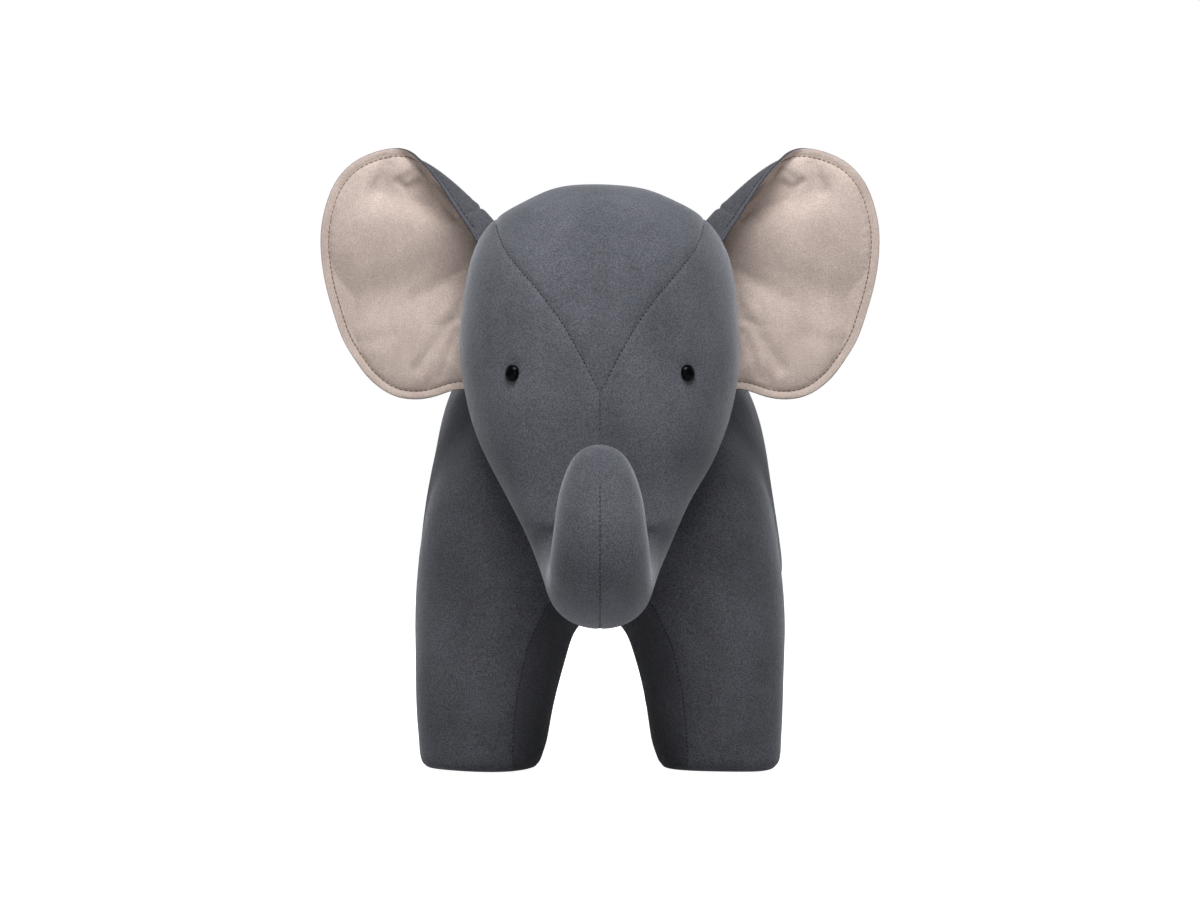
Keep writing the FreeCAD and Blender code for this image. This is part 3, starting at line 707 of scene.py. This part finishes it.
# ------------------------------------------------------------ head pieces
head_base = head_mesh()
split_mesh(head_base, (gusset_level,))
EYE_X = 0.078
EYE_Z = 0.368
EYE_TURN = math.radians(40)
points = coords(head_base)
normal = normals(head_base)
x, y, z = np.abs(points[:, 0]), points[:, 1], points[:, 2]
gusset = np.where(z < GUSSET_FOOT, np.hypot(x, z - GUSSET_FOOT),
                  (x - np.interp(z, GUSSET[:, 0], GUSSET[:, 1])) * 0.72)
points = seam_groove(points, normal, gusset, 0.0013, 0.0013, 0.00008)
below = (z < 0.352) | (y < -0.28)
middle = np.where(below, x, 1.0)
points = seam_groove(points, normal, middle, 0.0009, 0.0013, 0.00008)
head_tree = tree_of(head_base)
eye_spots, _ = cast(head_tree, [(EYE_X * s, -0.5, EYE_Z) for _, s in SIDES], (0, 1, 0))
for spot in eye_spots:
    away = np.linalg.norm(points - np.array(spot), axis=1)
    points -= normal * (0.0024 * np.exp(-((away / 0.011) ** 2)))[:, None]
points += normal * (lumps(points, 0.10, 8) * 0.0008)[:, None]
set_coords(head_base, points)
head_tree = tree_of(head_base)


def head_region(centre):
    if gusset_level(centre) < 0:
        return "forehead_gusset"
    return "head_side_left" if centre.x > 0 else "head_side_right"


for name, faces in sorted(face_regions(head_base, head_region).items()):
    piece = panel(head_base, faces, name + "_cover")
    finish_piece(piece, GREY, "velvet_grey", MAIN, name, *STANDS_FOR.get(name, []))

# Stitches of the forehead seam, of the face and trunk seam, and of the inside of each leg.
heights = np.linspace(0.352, 0.503, 120)
for side, sign in SIDES:
    spread = np.interp(heights, GUSSET[:, 0], GUSSET[:, 1])
    spots, ups = cast(head_tree, [(sign * w, -1.0, h) for w, h in zip(spread, heights)],
                      (0, 1, 0))
    row = stitch_row("forehead_stitches_" + side, spots, ups, THREAD)
    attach(row, MAIN)
spots, ups = cast(head_tree, [(0, -1.0, h) for h in np.linspace(0.350, 0.315, 24)], (0, 1, 0))
row = stitch_row("face_stitches", spots, ups, THREAD)
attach(row, MAIN)
spots, ups = [], []
for turn in np.linspace(math.radians(-100), math.radians(22), 80):
    outward = Vector((0, -math.cos(turn), math.sin(turn)))
    origin = Vector((0, TRUNK_BEND_Y, TRUNK_BEND_Z)) * MM + outward * 0.4
    got, lift = cast(head_tree, [origin], -outward)
    spots += got
    ups += lift
row = stitch_row("trunk_stitches", spots, ups, THREAD)
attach(row, MAIN)
for end, along in ENDS:
    for side, sign in SIDES:
        heights = np.linspace(0.012, 0.192, 120)
        spread = np.interp(heights, ARCH[:, 0], ARCH[:, 1])
        spots, ups = cast(body_tree, [(sign * w, along * 2.0, h)
                                      for w, h in zip(spread, heights)], (0, -along, 0))
        row = stitch_row("leg_stitches_%s_%s" % (end, side), spots, ups, THREAD)
        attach(row, MAIN)

# ------------------------------------------------------------ eyes
for (side, sign), spot in zip(SIDES, eye_spots):
    outward = Vector((sign * math.sin(EYE_TURN), -math.cos(EYE_TURN), 0.10)).normalized()
    profile = [(2.2, -13.0), (2.2, -1.0), (6.6, -0.8), (7.35, -0.35), (7.5, 0.3)]
    for step in range(1, 15):
        angle = math.pi / 2 * step / 14
        profile.append((max(7.5 * math.cos(angle), 0.05), 0.3 + 5.2 * math.sin(angle)))
    rings = []
    for radius, height in profile:
        turn = 2 * np.pi * np.arange(48) / 48
        rings.append(np.stack([radius * np.cos(turn), radius * np.sin(turn),
                               np.full(48, height)], 1) * MM)
    mesh = stack_mesh("eye_dome_" + side, rings)
    facing = outward.to_track_quat("Z", "Y").to_matrix().to_4x4()
    mesh.transform(Matrix.Translation(Vector(spot) - outward * 0.0012) @ facing)
    piece = add_object("eye_dome_" + side, mesh)
    finish_piece(piece, EYE, "eye_black", MAIN, "eye_" + side)

# ------------------------------------------------------------ ears
# Flat pattern of the left ear (x, z in mm); the corner next to the head folds forward.
EAR_EDGE = (
    (60, 540), (71, 548), (91, 558), (113, 566.5), (137, 572.5), (161, 577.5), (182, 580),
    (199, 579), (216, 573.5), (231, 564.5), (243.5, 550.5), (252, 532.5), (257.5, 510),
    (258.5, 487), (256, 463), (251, 441), (245, 421), (237.5, 401), (226, 382), (214.5, 367),
    (200, 355), (185, 348.5), (168, 347), (150, 350.5), (130, 356), (112, 361), (115, 395),
    (113, 430), (108, 460), (99, 485), (86, 507), (70, 525),
)
EAR_MIDDLE = (172, 468)
EAR_PLANE = -112
FOLD_FOOT = np.array((104.3, 506.3))
FOLD_ALONG = np.array((0.771, 0.637))
FOLD_UP = np.array((-0.637, 0.771))
FOLD_LENGTH = 89.5
FOLD_RADIUS = 7.0
FOLD_TURN = ((-0.2, 130), (0, 125), (0.5, 108), (0.75, 97), (1.0, 84), (1.2, 50), (1.4, 15),
             (1.6, 0))
HEM = 7.5
# The hem stitches stop short of the head: at this x (mm) above and below HEM_TOP.
HEM_TOP = 520
HEM_END_HIGH = 78
HEM_END_LOW = 118
EAR_FULL = 12.0
EDGE_COUNT = 260
EAR_RINGS = 52
WRAP_RINGS = 2

edge_knots = np.arange(len(EAR_EDGE) + 7) - 3
edge_values = np.array([EAR_EDGE[i % len(EAR_EDGE)] for i in edge_knots], float)
ear_edge = spline(edge_knots, edge_values,
                  np.linspace(0, len(EAR_EDGE), 1200, endpoint=False))
run = np.concatenate([[0], np.cumsum(np.linalg.norm(np.diff(ear_edge, axis=0), axis=1))])
even = np.linspace(0, run[-1], EDGE_COUNT, endpoint=False)
ear_edge = np.stack([np.interp(even, run, ear_edge[:, k]) for k in range(2)], 1)


def edge_distance(flat):
    """Distance (mm) of flat points from the ear's edge, measured to the edge's segments."""
    start = ear_edge
    step = np.roll(ear_edge, -1, axis=0) - start
    best = np.full(len(flat), 1e9)
    for a, d in zip(start, step):
        part = np.clip(((flat - a) @ d) / (d @ d), 0, 1)
        best = np.minimum(best, np.linalg.norm(flat - a - part[:, None] * d, axis=1))
    return best


# Soft valleys in the lining: start x, z, end x, z, depth and width (mm).
LINING_FOLDS = (
    (128, 466, 172, 440, 1.5, 7), (122, 442, 168, 376, 2.2, 6), (134, 408, 148, 368, 1.8, 4.5),
    (192, 407, 226, 398, 1.0, 8), (120, 425, 150, 415, 1.2, 4), (200, 540, 168, 534, 8.0, 18),
    (197, 564, 207, 541, 2.6, 6), (187, 549, 173, 537, 2.2, 3.5), (166, 541, 142, 520, 7.0, 10),
    (140, 456, 236, 436, 7.0, 29), (167, 565, 158, 548, 2.4, 2.2),
    (158, 548, 150, 530, 2.6, 2.2), (150, 530, 133, 514, 2.4, 2.2),
    (170, 560, 180, 552, 1.4, 3), (186, 500, 236, 470, 0.8, 14), (150, 390, 158, 360, 1.2, 4),
)


def segment_distance(flat, start, end):
    start, step = np.array(start, float), np.array(end, float) - np.array(start, float)
    part = np.clip(((flat - start) @ step) / (step @ step), 0, 1)
    return np.linalg.norm(flat - start - part[:, None] * step, axis=1)


def ear_point(flat, face, lift=0.0):
    """Places flat points (mm) on the lining (face -1) or the outer side (face +1)."""
    inside = edge_distance(flat)
    x, z = flat[:, 0], flat[:, 1]
    puff = EAR_FULL * (1 - np.exp(-np.maximum(inside - HEM, 0) / 17))
    half = 1.7 - 1.1 * np.exp(-inside / 0.8) - 0.9 * np.exp(-((inside - HEM) / 1.6) ** 2) + puff
    offset = flat - FOLD_FOOT
    along = offset @ FOLD_ALONG / FOLD_LENGTH
    beyond = offset @ FOLD_UP
    turn_rows = np.array(FOLD_TURN, float)
    limit = np.radians(np.interp(along, turn_rows[:, 0], turn_rows[:, 1]))
    bend = np.clip(beyond / FOLD_RADIUS, 0, limit)
    rest = np.maximum(beyond - FOLD_RADIUS * limit, 0) * (beyond > 0)
    up = np.where(beyond > 0, FOLD_RADIUS * np.sin(bend) + rest * np.cos(bend), beyond)
    ahead = np.where(beyond > 0, -FOLD_RADIUS * (1 - np.cos(bend)) - rest * np.sin(bend), 0)
    if face < 0:
        half = half * 0.86
        for x0, z0, x1, z1, depth, wide in LINING_FOLDS:
            half = half - depth * np.exp(-(segment_distance(flat, (x0, z0), (x1, z1)) / wide) ** 2)
        gathers = np.exp(-((inside - HEM - 4) / 4) ** 2)
        around = np.arctan2(z - EAR_MIDDLE[1], x - EAR_MIDDLE[0])
        half = half + 0.22 * gathers * np.sin(around * 61 + 2 * np.sin(around * 7))
        near_fold = np.clip((1.35 - along) / 0.3, 0, 1) * np.clip((along + 0.5) / 0.3, 0, 1)
        cap = 4.0 + np.maximum(-beyond, 0) * 0.7 + (1 - near_fold) * 20
        half = np.minimum(half, cap)
        half = np.maximum(half, 0.5)
    else:
        flatter = np.clip((1.1 - along) / 0.8, 0, 1) * np.clip((beyond + 12) / 14, 0, 1)
        half = half * (1 - 0.62 * flatter)
        pleat = np.exp(-(((along - 0.16) * FOLD_LENGTH - beyond * 0.15) / 1.8) ** 2)
        half = half - 1.6 * pleat * (beyond > 0)
        half = np.maximum(half, 0.5)
    dish = -9.0 * np.clip((x - 120) / 140, 0, 1) ** 2 - 6.0 * np.clip((412 - z) / 62, 0, 1) ** 2
    half = half + lift
    plane = FOLD_FOOT + along[:, None] * FOLD_LENGTH * FOLD_ALONG + up[:, None] * FOLD_UP
    plane = plane + (face * half * np.sin(bend))[:, None] * FOLD_UP
    depth = EAR_PLANE + dish + ahead + face * half * np.cos(bend)
    return np.stack([plane[:, 0], depth, plane[:, 1]], 1) * MM


def ear_pattern():
    """Flat points (mm) of the ear, on rings that run from the edge towards the middle."""
    middle = np.array(EAR_MIDDLE, float)
    parts = np.linspace(0, 1, EAR_RINGS)
    scales = 1 - (parts ** 1.7) * 0.985
    return np.concatenate([middle + (ear_edge - middle) * s for s in scales])


ear_flat = ear_pattern()


def ear_faces(face, first, last, shift=0):
    """Quads between the rings first..last; the last ring of all is closed by a fan."""
    quads = []
    for ring in range(first, last):
        for i in range(EDGE_COUNT):
            j = (i + 1) % EDGE_COUNT
            low, high = ring * EDGE_COUNT + shift, (ring + 1) * EDGE_COUNT + shift
            quads.append((low + i, low + j, high + j, high + i))
    if last == EAR_RINGS - 1:
        centre = EAR_RINGS * EDGE_COUNT + shift
        for i in range(EDGE_COUNT):
            quads.append((last * EDGE_COUNT + i + shift,
                          last * EDGE_COUNT + (i + 1) % EDGE_COUNT + shift, centre))
    return quads if face > 0 else [quad[::-1] for quad in quads]


def ear_side(face, sign):
    """The lining, or the outer cloth, which also wraps a little way round the edge."""
    flat = np.concatenate([ear_flat, [np.array(EAR_MIDDLE, float)]])
    spots = ear_point(flat, face)
    if face < 0:
        faces = ear_faces(-1, WRAP_RINGS, EAR_RINGS - 1)
    else:
        shift = len(spots)
        spots = np.concatenate([spots, ear_point(flat, -1)])
        faces = ear_faces(1, 0, EAR_RINGS - 1) + ear_faces(-1, 0, WRAP_RINGS, shift)
        for i in range(EDGE_COUNT):
            j = (i + 1) % EDGE_COUNT
            faces.append((j, i, i + shift, j + shift))
    if sign < 0:
        spots[:, 0] *= -1
        faces = [quad[::-1] for quad in faces]
    bm = bmesh.new()
    verts = [bm.verts.new(spot) for spot in spots.tolist()]
    for quad in faces:
        bm.faces.new([verts[i] for i in quad])
    bmesh.ops.delete(bm, geom=[v for v in bm.verts if not v.link_faces], context="VERTS")
    mesh = bpy.data.meshes.new("ear")
    bm.to_mesh(mesh)
    bm.free()
    return mesh


def hem_path(face, sign):
    """The stitched line inside the edge, and the way up from it."""
    middle = np.array(EAR_MIDDLE, float)
    spokes = ear_edge - middle
    scales = np.linspace(1, 0.8, 60)
    grid = np.concatenate([middle + spokes * s for s in scales])
    far = edge_distance(grid).reshape(60, -1)
    pick = np.argmax(far > HEM, axis=0)
    flat = middle + spokes * scales[pick][:, None]
    inner_end = np.where(flat[:, 1] > HEM_TOP, HEM_END_HIGH, HEM_END_LOW)
    flat = flat[flat[:, 0] > inner_end]
    spoke = flat - middle
    order = np.argsort(np.unwrap(np.arctan2(spoke[:, 1], spoke[:, 0])))
    flat = flat[order]
    low = ear_point(flat, face)
    high = ear_point(flat, face, 1.0)
    up = high - low
    for array in (low, up):
        array[:, 0] *= sign
    return low, up


EAR_HINGE = {"left": Vector((0.126, -0.112, 0.435)), "right": Vector((-0.126, -0.112, 0.435))}
for side, sign in SIDES:
    hinge = EAR_HINGE[side]
    outward = Vector((0.982 * sign, 0, 0.188))
    start, end = hinge - outward * 0.012, hinge + outward * 0.018
    body = "ear_" + side
    lining = add_object("ear_lining_%s_cover" % side, ear_side(-1, sign))
    outer = add_object("ear_outer_%s_cover" % side, ear_side(1, sign))
    for piece, material, slot, nodes in (
        (lining, BEIGE, "velvet_beige", ("ear_lining_" + side, "ear_padding_" + side)),
        # The outer ear cloth takes the darker grey copy, painted shade.
        (outer, GREY_PAINTED_SHADE, "velvet_grey", ("ear_outer_" + side,)),
    ):
        shell = piece.modifiers.new("cloth", "SOLIDIFY")
        shell.thickness = 0.0006
        shell.offset = -1
        apply_modifiers(piece)
        finish_piece(piece, material, slot, None, *nodes)
        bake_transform(piece, MAIN, body, start=start, end=end)
    for face, material, label in ((-1, THREAD_BROWN, "hem"), (1, THREAD, "back_hem")):
        path, up = hem_path(face, sign)
        row = stitch_row("ear_%s_stitches_%s" % (label, side), path, up, material, 0.0042,
                         0.0005, 0.00042)
        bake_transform(row, MAIN, body, start=start, end=end)

# ------------------------------------------------------------ tail
tail_rows = [(331, 0.5), (330, 4.0), (326, 6.8), (318, 8.0), (300, 8.6), (270, 8.4), (240, 8.0),
             (222, 7.6), (217, 5.5), (216, 0.5)]
rings = []
for z, radius in dense_rows(tail_rows, 60, [0, 1]):
    across, along = ring_points(max(radius, 0.3), max(radius, 0.3), 2.0, 40)
    rings.append(np.stack([across, along + 362, np.full(40, z)], 1) * MM)
mesh = stack_mesh("tail_cover_skin", rings[::-1])
points = coords(mesh)
points = seam_groove(points, normals(mesh), np.where(points[:, 1] < 0.362, points[:, 0], 1.0),
                     0.0012, 0.002)
set_coords(mesh, points)
piece = add_object("tail_cover_skin", mesh)
finish_piece(piece, GREY, "velvet_grey", None, "tail_cover", "tail_stuffing")
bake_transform(piece, "tail_root", "tail", start=(0, 0.362, 0.332), end=(0, 0.362, 0.304))

low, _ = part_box("tail_tab")
rings = []
for step in range(25):
    y = low.y - 0.004 + (0.362 - low.y + 0.004) * step / 24
    across, along = ring_points(0.0082, 0.0028, 3.0, 32)
    rings.append(np.stack([across, np.full(32, y), 0.326 + along], 1))
piece = add_object("tail_tab_cover", stack_mesh("tail_tab_cover", rings))
finish_piece(piece, GREY, "velvet_grey", None, "tail_tab")
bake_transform(piece, MAIN, "tail_root", start=(0, 0.350, 0.326), end=(0, 0.362, 0.326))

rings = []
for step in range(13):
    across, along = ring_points(0.003, 0.003, 2.0, 24)
    x = -0.006 + 0.012 * step / 12
    rings.append(np.stack([np.full(24, x), across + 0.362, 0.326 + along], 1))
piece = add_object("tail_loop_roll", stack_mesh("tail_loop_roll", rings))
finish_piece(piece, GREY, "velvet_grey", "tail_root", "tail_loop")

# The tuft is a bundle of cut yarn.
rng = np.random.default_rng(21)
strands = []
for index in range(90):
    angle = rng.uniform(0, 2 * np.pi)
    spread = math.sqrt(rng.uniform(0, 1))
    root = np.array([math.cos(angle), math.sin(angle)]) * 0.0052 * spread
    belly = np.array([math.cos(angle), math.sin(angle)]) * (0.0098 * spread + 0.0015)
    tip = np.array([math.cos(angle), math.sin(angle)]) * (0.0060 * spread)
    length = rng.uniform(0.036, 0.045)
    rows = [(0.219, *root), (0.2155 - length * 0.3, *(belly * 0.85)),
            (0.2155 - length * 0.6, *belly), (0.2155 - length, *tip)]
    ring_list = []
    for z, dx, dy in dense_rows(rows, 9, [0, 1, 2]):
        across, along = ring_points(0.0009, 0.0009, 2.0, 6)
        ring_list.append(np.stack([across + dx, along + 0.362 + dy, np.full(6, z)], 1))
    strands.append(stack_mesh("strand", ring_list))
piece = add_object("tail_tuft_yarn", join(strands, "tail_tuft_yarn"))
finish_piece(piece, YARN, "tail_yarn", "tail", "tail_tuft")

# ------------------------------------------------------------ pieces kept from the CAD model
KEPT = (("leg_post", WOOD), ("side_rail", WOOD), ("cross_rail", WOOD), ("seat_board", PLY),
        ("foot_board", PLY), ("neck_board", PLY), ("foot_screws", STEEL),
        ("seat_screws", STEEL), ("glide", GLIDE), ("eye_washer", WASHER),
        # The ear seam tabs take the darker grey copy, painted shade.
        ("ear_seam_tab", GREY_PAINTED_SHADE))
for node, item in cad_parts.items():
    for prefix, material in KEPT:
        if node.startswith(prefix):
            item.data.materials.clear()
            item.data.materials.append(material)

# ------------------------------------------------------------ floor, light and camera
floor_mesh = bpy.data.meshes.new("floor")
floor_mesh.from_pydata([(-30, -30, 0), (30, -30, 0), (30, 30, 0), (-30, 30, 0)], [],
                       [(0, 1, 2, 3)])
floor = add_object("floor", floor_mesh)
floor_material, floor_tree, floor_shader = new_material("floor_pale")
floor_shader.inputs["Base Color"].default_value = (0.60, 0.60, 0.60, 1)
floor_shader.inputs["Roughness"].default_value = 0.9
floor_shader.inputs["Emission Color"].default_value = (1, 1, 1, 1)
floor_tree.links.new(floor_tree.nodes.new("ShaderNodeLightPath").outputs["Is Camera Ray"],
                     floor_shader.inputs["Emission Strength"])
floor_mesh.materials.append(floor_material)

world = bpy.data.worlds.new("studio")
world.use_nodes = True
world_tree = world.node_tree
seen = world_tree.nodes["Background"]
seen.inputs["Strength"].default_value = 1.0
seen.inputs["Color"].default_value = (1, 1, 1, 1)
fill = world_tree.nodes.new("ShaderNodeBackground")
fill.inputs["Color"].default_value = (0.97, 0.98, 1.0, 1)
fill.inputs["Strength"].default_value = 0.10
either = world_tree.nodes.new("ShaderNodeMixShader")
world_tree.links.new(world_tree.nodes.new("ShaderNodeLightPath").outputs["Is Camera Ray"],
                     either.inputs[0])
world_tree.links.new(fill.outputs[0], either.inputs[1])
world_tree.links.new(seen.outputs[0], either.inputs[2])
world_tree.links.new(either.outputs[0], world_tree.nodes["World Output"].inputs["Surface"])
bpy.context.scene.world = world


def softbox(name, place, target, size, power):
    light = bpy.data.lights.new(name, "AREA")
    light.shape = "RECTANGLE"
    light.size, light.size_y = size
    light.energy = power
    lamp = bpy.data.objects.new(name, light)
    lamp.location = place
    lamp.rotation_euler = (Vector(target) - Vector(place)).to_track_quat("-Z", "Y").to_euler()
    bpy.context.scene.collection.objects.link(lamp)
    return lamp


softbox("key_softbox", (0, -1.15, 2.10), (0, -0.1, 0.40), (1.5, 1.1), 71)
softbox("front_softbox", (0, -2.9, 0.9), (0, 0, 0.3), (1.4, 0.8), 9)
softbox("back_softbox", (0, 3.0, 1.7), (0, 0.2, 0.30), (1.6, 1.0), 40)
softbox("left_rim", (-1.9, 0.9, 1.1), (0, 0, 0.40), (0.6, 1.4), 5)
softbox("right_rim", (1.9, 0.9, 1.1), (0, 0, 0.40), (0.6, 1.4), 5)

bpy.context.scene.view_settings.view_transform = "Standard"
camera_data = bpy.data.cameras.new("camera")
camera_data.lens = 85.2
camera_data.sensor_width = 36
camera = bpy.data.objects.new("camera", camera_data)
camera.location = (0, -2.75, 0.30)
camera.rotation_euler = (math.radians(90), 0, 0)
bpy.context.scene.collection.objects.link(camera)
bpy.context.scene.camera = camera
